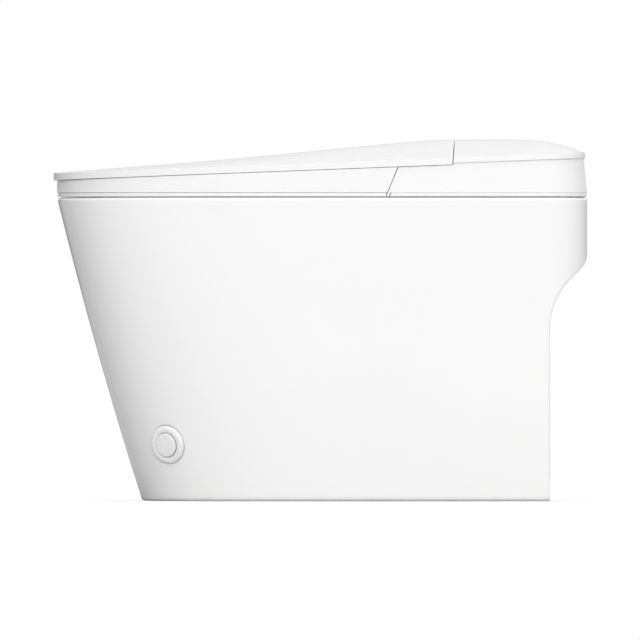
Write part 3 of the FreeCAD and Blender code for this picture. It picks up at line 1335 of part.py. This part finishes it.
def inlet_pipe():
    """Supply pipe from the valve down to a threaded end at the open back."""
    points = [Vector(VALVE_X, VALVE_Y, VALVE_TOP_Z - VALVE_HEIGHT), Vector(VALVE_X, VALVE_Y, INLET_Z),
              Vector(VALVE_X, INLET_END_Y, INLET_Z)]
    path = Part.Wire(rounded_edges(points, INLET_BEND_R, False))
    pipes = []
    for radius in (INLET_PIPE_R, INLET_BORE_R):
        profile = Part.Wire(Part.makeCircle(radius, points[0], Vector(0, 0, -1)))
        pipes.append(path.makePipeShell([profile], True, True))
    end = points[-1]
    shoulder = end - Vector(0, INLET_THREAD_LENGTH, 0)
    thread = rod(shoulder, end, INLET_THREAD_R)
    collar = rod(shoulder - Vector(0, INLET_COLLAR, 0), shoulder, INLET_THREAD_R + INLET_COLLAR_RIM)
    return pipes[0].fuse([thread, collar]).removeSplitter().cut(pipes[1])


def wash_spout():
    """Pipe from the valve through the bowl's rear wall."""
    end = Vector(SPOUT_START.x, VALVE_Y - VALVE_WIDTH / 2, SPOUT_START.z)
    return rod(SPOUT_START, end, SPOUT_R).cut(rod(SPOUT_START, end - Vector(0, 2, 0), SPOUT_R - SPOUT_WALL))


def power_gland():
    """Inlet for the power cord under the base plate."""
    at = Vector(RIM_HALF_WIDTH - GLAND_SIDE, REAR_Y - GLAND_INSET, UNIT_Z)
    gland = rod(at - Vector(0, 0, GLAND_LENGTH), at, GLAND_R)
    gland = gland.fuse(rod(at - Vector(0, 0, GLAND_FLANGE), at, GLAND_R + GLAND_FLANGE)).removeSplitter()
    return gland.cut(rod(at - Vector(0, 0, 2 * GLAND_LENGTH), at - Vector(0, 0, 2), CORD_HOLE_R))


# Foot button, made around local Z with the pedestal's wall at 0

def round_slice(radius, z0, z1):
    """A round slice about local Z."""
    return Part.makeCylinder(radius, z1 - z0, Vector(0, 0, z0))


def turned(profile):
    """A profile of radius and height points, with arcs as three points, turned about local Z."""
    edges = []
    for piece in profile:
        points = [Vector(r, 0, z) for r, z in piece]
        if len(points) == 3:
            edges.append(Part.Arc(*points).toShape())
        else:
            edges.append(Part.LineSegment(*points).toShape())
    return Part.Face(Part.Wire(edges)).revolve(Vector(0, 0, 0), Vector(0, 0, 1), 360)


def round_corner(r, z, size):
    """Arc from the side to the top of an outer corner at a radius and height."""
    back = size * (1 - math.sqrt(0.5))
    return [(r, z - size), (r - back, z - back), (r - size, z)]


def button_bezel():
    """Flange on the wall, rounded towards its edge and dished at the cap, with a sleeve through the wall."""
    bore = CAP_R + CAP_GAP
    end = -SLEEVE_LENGTH
    seat = -BEZEL_SEAT_DEPTH
    half_way = math.sqrt(0.5)
    edge = [(BEZEL_R, BEZEL_EDGE), (BEZEL_R - BEZEL_ROUND * (1 - half_way),
                                    BEZEL_EDGE + (BEZEL_FACE - BEZEL_EDGE) * half_way),
            (BEZEL_R - BEZEL_ROUND, BEZEL_FACE)]
    dish = (bore, BEZEL_FACE - BEZEL_DISH)
    return on_button_axis(turned([
        [(bore, end), (SLEEVE_R, end)], [(SLEEVE_R, end), (SLEEVE_R, seat)],
        [(SLEEVE_R, seat), (BEZEL_R, seat)], [(BEZEL_R, seat), edge[0]],
        edge, [edge[2], dish], [dish, (bore, end)]]))


def button_nut():
    """Ring nut that clamps the bezel from inside the pedestal."""
    low = -SLEEVE_LENGTH + NUT_HEIGHT / 2
    nut = round_slice(SLEEVE_R + NUT_RIM, low, low + NUT_HEIGHT)
    return on_button_axis(nut.cut(round_slice(SLEEVE_R + PRESS_GAP, -SLEEVE_LENGTH, 0)))


def button_cap():
    """Round push cap with a soft edge, a faintly domed face and its stem."""
    face = BEZEL_FACE + CAP_PROUD
    edge = round_corner(CAP_R, face, CAP_EDGE_R)
    flat_r = CAP_R - CAP_EDGE_R
    dome_r = (flat_r ** 2 + CAP_DOME ** 2) / (2 * CAP_DOME)
    half_angle = math.asin(flat_r / dome_r) / 2
    top = face + CAP_DOME
    dome = [edge[2], (dome_r * math.sin(half_angle), top - dome_r * (1 - math.cos(half_angle))), (0, top)]
    stem_end = -CAP_DEPTH - STEM_LENGTH
    return on_button_axis(turned([
        [(0, stem_end), (STEM_R, stem_end)], [(STEM_R, stem_end), (STEM_R, -CAP_DEPTH)],
        [(STEM_R, -CAP_DEPTH), (CAP_R, -CAP_DEPTH)], [(CAP_R, -CAP_DEPTH), edge[0]], edge, dome,
        [(0, top), (0, stem_end)]]))


def button_switch():
    """Switch body on the end of the sleeve, with the guide of the cap's stem."""
    body = round_slice(SLEEVE_R, -SLEEVE_LENGTH - SWITCH_LENGTH, -SLEEVE_LENGTH)
    guide = round_slice(STEM_R + STEM_GUIDE_WALL, -SLEEVE_LENGTH, -CAP_DEPTH - BUTTON_TRAVEL - 3)
    switch = body.fuse(guide).removeSplitter()
    return on_button_axis(switch.cut(round_slice(STEM_R + RUNNING_GAP, -SLEEVE_LENGTH, 0)))


PARTS = {
    "ceramic_skirt": ceramic_skirt(),
    "ceramic_rim": ceramic_rim(),
    "ceramic_bowl": ceramic_bowl(),
    "ceramic_trapway": ceramic_trapway(),
    "ceramic_foot": ceramic_foot(),
    "outlet_gasket": outlet_gasket(),
    "deck_gasket": deck_gasket(),
    "base_plate": base_plate(),
    "base_bolts": base_bolts(),
    "rear_housing": rear_housing(),
    "rear_cover": rear_cover(),
    "cheek_seals": cheek_seals(),
    "hinge_bracket_right": hinge_bracket(),
    "hinge_bracket_left": hinge_bracket().mirror(Vector(0, 0, 0), Vector(1, 0, 0)),
    "hinge_pins": hinge_pins(),
    "hinge_dampers": hinge_dampers(),
    "nozzle_cradle": nozzle_cradle(),
    "nozzle_wand": nozzle_wand(),
    "nozzle_tip": nozzle_tip(),
    "nozzle_motor": nozzle_motor(),
    "fan_housing": fan_housing(),
    "fan_cover": fan_cover(),
    "fan_motor": fan_motor(),
    "fan_impeller": fan_impeller(),
    "dryer_duct": dryer_duct(),
    "dryer_flap": dryer_flap(),
    "night_light_lens": night_light_lens(),
    "water_heater": water_heater(),
    "board_tray": board_tray(),
    "circuit_board": circuit_board(),
    "flush_pump": flush_pump(),
    "pump_motor": pump_motor(),
    "flush_valve": flush_valve(),
    "valve_coil": valve_coil(),
    "inlet_pipe": inlet_pipe(),
    "wash_spout": wash_spout(),
    "power_gland": power_gland(),
    "button_bezel": button_bezel(),
    "button_nut": button_nut(),
    "button_cap": button_cap(),
    "button_switch": button_switch(),
    "seat_upper_shell": seat_upper_shell(),
    "seat_lower_shell": seat_lower_shell(),
    "seat_heater": seat_heater(),
    "seat_bumpers": seat_bumpers(),
    "seat_arms": seat_arms(),
    "lid_shell": lid_shell(),
    "lid_panel": lid_panel(),
    "lid_bumpers": lid_bumpers(),
    "lid_arms": lid_arms(),
}

os.makedirs("parts", exist_ok=True)
for name, shape in PARTS.items():
    shape.exportStep("parts/" + name + ".step")
    print(name, shape.isValid(), len(shape.Solids), round(shape.Volume / 1000, 1), shape.BoundBox)
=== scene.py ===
import json
import math

import bpy
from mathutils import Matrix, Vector

# Looks, floor, light and camera of the bidet toilet. Lengths are in metres.

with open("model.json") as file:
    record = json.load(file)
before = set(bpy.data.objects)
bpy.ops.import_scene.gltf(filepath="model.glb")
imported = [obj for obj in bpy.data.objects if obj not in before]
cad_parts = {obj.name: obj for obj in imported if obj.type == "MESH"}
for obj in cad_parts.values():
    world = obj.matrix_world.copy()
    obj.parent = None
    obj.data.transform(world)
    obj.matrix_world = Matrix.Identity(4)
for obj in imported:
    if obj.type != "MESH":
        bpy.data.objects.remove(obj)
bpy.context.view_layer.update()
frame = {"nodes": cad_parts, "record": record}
nodes = frame["nodes"]

# The range in which most of a noise texture's values lie, and its detail in each use
USUAL_NOISE = (0.3, 0.7)
DRIFT_DETAIL = 3
GRAIN_DETAIL = 4
RELIEF_DETAIL = 2

# Rays per point of the shader nodes that look around the point
NODE_SAMPLES = 8

COAT_ROUGHNESS = 0.06

# Between these heights the ceramic's rounded edges fade out, since the rim has its own fillet
ROUNDED_BELOW = (0.33, 0.36)

LENS_COLOUR = (0.90, 0.94, 0.97, 1)
LENS_CLEARNESS = 0.85
LENS_IOR = 1.46
LENS_GRAIN = 500.0
LENS_GRAIN_DETAIL = 3
LENS_ROUGHNESS = (0.08, 0.22)

WELD_DISTANCE = 0.00001
EDGE_SEGMENTS = 3
EDGE_ANGLE = math.radians(40)

# Strengths of the world and the floor's glow, where 1 is white
WHITE = 1.0
FILL = 0.552
HORIZON_MIRRORED = 0.25
FLOOR_GLOW = 0.56
FLOOR_MIRRORED = 0.05

# The upward part of a direction at the horizon, and where the mirrored ceiling is fully white
HORIZON = 0.0
CEILING = 0.25

# The floor's glow rises to white between these distances from the object's middle
FLOOR_NEAR = 0.25
FLOOR_FAR = 0.9
FLOOR_SIZE = 12.0
FLOOR_DROP = 0.0004
FLOOR_PAINT = (0.50, 0.50, 0.50, 1)

LAMP_AIM = Vector((0, 0, 0.25))

PHOTO_SIZE = 640
MM_PER_PIXEL = 1.296
VIEW_WIDTH = PHOTO_SIZE * MM_PER_PIXEL / 1000
CAMERA_DISTANCE = 38.0
CAMERA_SIDEWAYS = 0.0003
CAMERA_HEIGHT = 0.2337
CAMERA_REACH = 100.0
SENSOR_WIDTH = 36.0


# Node helpers

def empty_tree(owner):
    """The cleared node tree of a material or of the world."""
    owner.use_nodes = True
    owner.node_tree.nodes.clear()
    return owner.node_tree


def feed(tree, value, socket):
    """A number set on a socket, or another node's output linked to it."""
    if isinstance(value, bpy.types.NodeSocket):
        tree.links.new(value, socket)
    else:
        socket.default_value = value


def noise(tree, place, scale, detail):
    """A noise texture over the object's own coordinates."""
    texture = tree.nodes.new("ShaderNodeTexNoise")
    texture.inputs["Scale"].default_value = scale
    texture.inputs["Detail"].default_value = detail
    tree.links.new(place.outputs["Object"], texture.inputs["Vector"])
    return texture.outputs["Fac"]


def span(tree, value, bounds, ends, kind="LINEAR"):
    """A value's way between two bounds turned into the way between two ends."""
    node = tree.nodes.new("ShaderNodeMapRange")
    node.interpolation_type = kind
    node.inputs["From Min"].default_value = bounds[0]
    node.inputs["From Max"].default_value = bounds[1]
    node.inputs["To Min"].default_value = ends[0]
    node.inputs["To Max"].default_value = ends[1]
    tree.links.new(value, node.inputs["Value"])
    return node.outputs["Result"]


def height_of(tree, vector):
    """The upward part of a vector."""
    node = tree.nodes.new("ShaderNodeSeparateXYZ")
    tree.links.new(vector, node.inputs["Vector"])
    return node.outputs["Z"]


def combine(tree, operation, first, second):
    """Two values joined by one math operation."""
    node = tree.nodes.new("ShaderNodeMath")
    node.operation = operation
    feed(tree, first, node.inputs[0])
    feed(tree, second, node.inputs[1])
    return node.outputs["Value"]


def choose(tree, chooser, first, second):
    """The first value where the chooser is 0, the second where it is 1."""
    node = tree.nodes.new("ShaderNodeMix")
    tree.links.new(chooser, node.inputs["Factor"])
    feed(tree, first, node.inputs["A"])
    feed(tree, second, node.inputs["B"])
    return node.outputs["Result"]


# Materials

def new_material(name):
    """A node material with only a Principled shader and its output."""
    material = bpy.data.materials.new(name)
    tree = empty_tree(material)
    shader = tree.nodes.new("ShaderNodeBsdfPrincipled")
    output = tree.nodes.new("ShaderNodeOutputMaterial")
    tree.links.new(shader.outputs["BSDF"], output.inputs["Surface"])
    return material, tree, shader


def drifting_colour(tree, place, colour, other, patch):
    """A slow drift between two colours."""
    drift = tree.nodes.new("ShaderNodeValToRGB")
    for element, position, end in zip(drift.color_ramp.elements, USUAL_NOISE, (colour, other)):
        element.position = position
        element.color = (*end, 1)
    tree.links.new(noise(tree, place, patch, DRIFT_DETAIL), drift.inputs["Fac"])
    return drift.outputs["Color"]


def painted_crevice_shade(tree, colour, reach):
    """The colour with painted shade: darkened where other faces stand closer than the reach."""
    node = tree.nodes.new("ShaderNodeAmbientOcclusion")
    node.samples = NODE_SAMPLES
    node.inputs["Distance"].default_value = reach
    tree.links.new(colour, node.inputs["Color"])
    return node.outputs["Color"]


def rounded_edges(tree, place, radius):
    """A normal that rounds the edges below the rim."""
    node = tree.nodes.new("ShaderNodeBevel")
    node.samples = NODE_SAMPLES
    level = height_of(tree, place.outputs["Object"])
    tree.links.new(span(tree, level, ROUNDED_BELOW, (radius, 0.0)), node.inputs["Radius"])
    return node.outputs["Normal"]


def surface(name, colour, other, patch, rough, grain, relief, height,
            metallic=0.0, coat=0.0, soft=0.0, crevice_shade_reach=0.0):
    """A surface with slow colour drift, fine roughness grain, a shallow relief and, where asked,
    painted shade in crevices.

    colour and other are the two ends of the drift, patch its scale; rough is the pair of roughness
    ends, grain their scale; relief and height are the scale and depth of the bumps; soft is the
    radius to which the glaze rounds the edges below the rim; crevice_shade_reach is the reach within
    which close faces darken each other's colour as painted shade.
    """
    material, tree, shader = new_material(name)
    place = tree.nodes.new("ShaderNodeTexCoord")
    base = drifting_colour(tree, place, colour, other, patch)
    # Painted shade: the base colour darkens in crevices where other faces stand close.
    if crevice_shade_reach:
        base = painted_crevice_shade(tree, base, crevice_shade_reach)
    tree.links.new(base, shader.inputs["Base Color"])
    grains = span(tree, noise(tree, place, grain, GRAIN_DETAIL), USUAL_NOISE, rough)
    tree.links.new(grains, shader.inputs["Roughness"])
    bump = tree.nodes.new("ShaderNodeBump")
    bump.inputs["Strength"].default_value = 1.0
    bump.inputs["Distance"].default_value = height
    tree.links.new(noise(tree, place, relief, RELIEF_DETAIL), bump.inputs["Height"])
    if soft:
        tree.links.new(rounded_edges(tree, place, soft), bump.inputs["Normal"])
    tree.links.new(bump.outputs["Normal"], shader.inputs["Normal"])
    shader.inputs["Metallic"].default_value = metallic
    shader.inputs["Coat Weight"].default_value = coat
    shader.inputs["Coat Roughness"].default_value = COAT_ROUGHNESS
    return material


def clear_lens():
    """Slightly frosted clear plastic for the night light."""
    material, tree, shader = new_material("clear_lens")
    place = tree.nodes.new("ShaderNodeTexCoord")
    grains = span(tree, noise(tree, place, LENS_GRAIN, LENS_GRAIN_DETAIL), USUAL_NOISE, LENS_ROUGHNESS)
    tree.links.new(grains, shader.inputs["Roughness"])
    shader.inputs["Base Color"].default_value = LENS_COLOUR
    shader.inputs["Transmission Weight"].default_value = LENS_CLEARNESS
    shader.inputs["IOR"].default_value = LENS_IOR
    return material


FINISHES = {
    "glazed_ceramic": dict(
        colour=(0.896, 0.898, 0.893), other=(0.910, 0.910, 0.906), patch=3.0,
        rough=(0.10, 0.17), grain=60.0, relief=26.0, height=0.00006, coat=0.35, soft=0.006),
    "shell_white": dict(
        colour=(0.866, 0.866, 0.866), other=(0.880, 0.880, 0.879), patch=4.0,
        rough=(0.24, 0.27), grain=40.0, relief=30.0, height=0.000002),
    "seat_white": dict(
        colour=(0.866, 0.866, 0.864), other=(0.878, 0.878, 0.876), patch=5.0,
        rough=(0.36, 0.44), grain=260.0, relief=400.0, height=0.000001),
    "unit_white": dict(
        colour=(0.854, 0.854, 0.854), other=(0.868, 0.868, 0.867), patch=5.0,
        rough=(0.36, 0.44), grain=260.0, relief=400.0, height=0.000001),
    # The button's colour carries painted shade in the crevices around its cap and flange.
    "button_white": dict(
        colour=(0.884, 0.884, 0.884), other=(0.896, 0.896, 0.895), patch=30.0,
        rough=(0.26, 0.32), grain=90.0, relief=60.0, height=0.000002, crevice_shade_reach=0.002),
    "rubber_white": dict(
        colour=(0.62, 0.62, 0.61), other=(0.68, 0.68, 0.67), patch=60.0,
        rough=(0.55, 0.70), grain=800.0, relief=1800.0, height=0.00003),
    # Near-black rubber for the seals. Its depth of black also stands in for painted shade in the seat's
    # rear slit.
    "rubber_dark": dict(
        colour=(0.016, 0.016, 0.017), other=(0.028, 0.028, 0.029), patch=50.0,
        rough=(0.60, 0.78), grain=700.0, relief=1500.0, height=0.00004),
    "steel": dict(
        colour=(0.52, 0.52, 0.53), other=(0.60, 0.60, 0.61), patch=40.0,
        rough=(0.22, 0.38), grain=900.0, relief=1600.0, height=0.00001, metallic=1.0),
    "brass": dict(
        colour=(0.60, 0.44, 0.20), other=(0.68, 0.52, 0.26), patch=40.0,
        rough=(0.22, 0.36), grain=700.0, relief=1400.0, height=0.00001, metallic=1.0),
    "inner_grey": dict(
        colour=(0.10, 0.105, 0.11), other=(0.14, 0.145, 0.15), patch=30.0,
        rough=(0.42, 0.56), grain=600.0, relief=1300.0, height=0.00002),
    "inner_white": dict(
        colour=(0.66, 0.66, 0.65), other=(0.72, 0.72, 0.70), patch=30.0,
        rough=(0.38, 0.50), grain=600.0, relief=1300.0, height=0.00002),
    "black_plastic": dict(
        colour=(0.012, 0.012, 0.013), other=(0.024, 0.024, 0.025), patch=40.0,
        rough=(0.40, 0.55), grain=700.0, relief=1400.0, height=0.00002),
    "circuit_green": dict(
        colour=(0.008, 0.055, 0.022), other=(0.016, 0.085, 0.038), patch=160.0,
        rough=(0.30, 0.45), grain=900.0, relief=700.0, height=0.00008),
    "heater_film": dict(
        colour=(0.30, 0.15, 0.05), other=(0.42, 0.22, 0.08), patch=90.0,
        rough=(0.35, 0.50), grain=500.0, relief=300.0, height=0.00006),
}
LOOKS = {name: surface(name, **finish) for name, finish in FINISHES.items()}
LOOKS["clear_lens"] = clear_lens()

for part in frame["record"]["subparts"]:
    piece = nodes[part["node"]]
    piece.data.materials.clear()
    piece.data.materials.append(LOOKS[part["material_slot"]])


# Soft moulded edges on what shows

SOFT_EDGES = {
    "lid_shell": 0.0002,
    "rear_cover": 0.0002,
    "seat_upper_shell": 0.0003,
    "seat_lower_shell": 0.0003,
    "rear_housing": 0.0002,
    "base_plate": 0.0003,
}
for name, width in SOFT_EDGES.items():
    weld = nodes[name].modifiers.new("joined_faces", "WELD")
    weld.merge_threshold = WELD_DISTANCE
    bevel = nodes[name].modifiers.new("soft_edges", "BEVEL")
    bevel.width = width
    bevel.segments = EDGE_SEGMENTS
    bevel.limit_method = "ANGLE"
    bevel.angle_limit = EDGE_ANGLE
    even = nodes[name].modifiers.new("even_shading", "WEIGHTED_NORMAL")
    even.keep_sharp = False


# Floor, backdrop and light

def plain_floor():
    """A wide pale floor that keeps the object's shadow and fades into the white background."""
    material = bpy.data.materials.new("studio_floor")
    tree = empty_tree(material)
    paint = tree.nodes.new("ShaderNodeBsdfDiffuse")
    paint.inputs["Color"].default_value = FLOOR_PAINT
    place = tree.nodes.new("ShaderNodeTexCoord")
    away = tree.nodes.new("ShaderNodeVectorMath")
    away.operation = "LENGTH"
    tree.links.new(place.outputs["Object"], away.inputs[0])
    path = tree.nodes.new("ShaderNodeLightPath")
    mirrored = combine(tree, "MULTIPLY", path.outputs["Is Glossy Ray"], FLOOR_MIRRORED)
    seen = combine(tree, "MAXIMUM", path.outputs["Is Camera Ray"], mirrored)
    lift = span(tree, away.outputs["Value"], (FLOOR_NEAR, FLOOR_FAR), (FLOOR_GLOW, WHITE), "SMOOTHSTEP")
    glow = tree.nodes.new("ShaderNodeEmission")
    tree.links.new(combine(tree, "MULTIPLY", seen, lift), glow.inputs["Strength"])
    both = tree.nodes.new("ShaderNodeAddShader")
    output = tree.nodes.new("ShaderNodeOutputMaterial")
    tree.links.new(paint.outputs["BSDF"], both.inputs[0])
    tree.links.new(glow.outputs["Emission"], both.inputs[1])
    tree.links.new(both.outputs["Shader"], output.inputs["Surface"])
    bpy.ops.mesh.primitive_plane_add(size=FLOOR_SIZE, location=(0, 0, -FLOOR_DROP))
    floor = bpy.context.object
    floor.name = "studio_floor"
    floor.data.materials.append(material)


def plain_world():
    """White to the camera and in reflections of the ceiling, with a soft even fill for the object."""
    world = bpy.data.worlds.new("studio")
    bpy.context.scene.world = world
    tree = empty_tree(world)
    place = tree.nodes.new("ShaderNodeTexCoord")
    upward = height_of(tree, place.outputs["Generated"])
    ceiling = span(tree, upward, (HORIZON, CEILING), (HORIZON_MIRRORED, WHITE), "SMOOTHSTEP")
    path = tree.nodes.new("ShaderNodeLightPath")
    lit = choose(tree, path.outputs["Is Glossy Ray"], FILL, ceiling)
    seen = combine(tree, "MAXIMUM", path.outputs["Is Camera Ray"], path.outputs["Is Transmission Ray"])
    white = tree.nodes.new("ShaderNodeBackground")
    white.inputs["Color"].default_value = (1, 1, 1, 1)
    tree.links.new(choose(tree, seen, lit, WHITE), white.inputs["Strength"])
    output = tree.nodes.new("ShaderNodeOutputWorld")
    tree.links.new(white.outputs["Background"], output.inputs["Surface"])


def soft_box(name, place, width, height, power):
    """A large soft lamp that lights the object and isn't mirrored in it."""
    lamp = bpy.data.lights.new(name, "AREA")
    lamp.shape = "RECTANGLE"
    lamp.size = width
    lamp.size_y = height
    lamp.energy = power
    holder = bpy.data.objects.new(name, lamp)
    bpy.context.collection.objects.link(holder)
    holder.visible_glossy = False
    holder.location = place
    holder.rotation_euler = (LAMP_AIM - Vector(place)).to_track_quat("-Z", "Y").to_euler()


plain_floor()
plain_world()
soft_box("top_box", place=(2.6, 0.2, 5.4), width=4.6, height=4.6, power=57)
soft_box("side_box", place=(5.1, 1.2, 1.1), width=3.2, height=2.0, power=55)
soft_box("front_box", place=(5.0, -1.2, 2.3), width=3.2, height=2.0, power=90)
soft_box("rear_box", place=(1.2, 4.5, 2.2), width=2.0, height=2.0, power=26)
soft_box("left_box", place=(-4.2, 2.4, 1.8), width=3.0, height=2.4, power=100)


# Camera square to the side, from far away

camera_data = bpy.data.cameras.new("camera")
camera_data.sensor_width = SENSOR_WIDTH
camera_data.lens = SENSOR_WIDTH * CAMERA_DISTANCE / VIEW_WIDTH
camera_data.clip_end = CAMERA_REACH
camera = bpy.data.objects.new("camera", camera_data)
bpy.context.collection.objects.link(camera)
camera.location = (CAMERA_DISTANCE, CAMERA_SIDEWAYS, CAMERA_HEIGHT)
camera.rotation_euler = (math.radians(90), 0, math.radians(90))
bpy.context.scene.camera = camera
bpy.context.scene.view_settings.view_transform = "Standard"
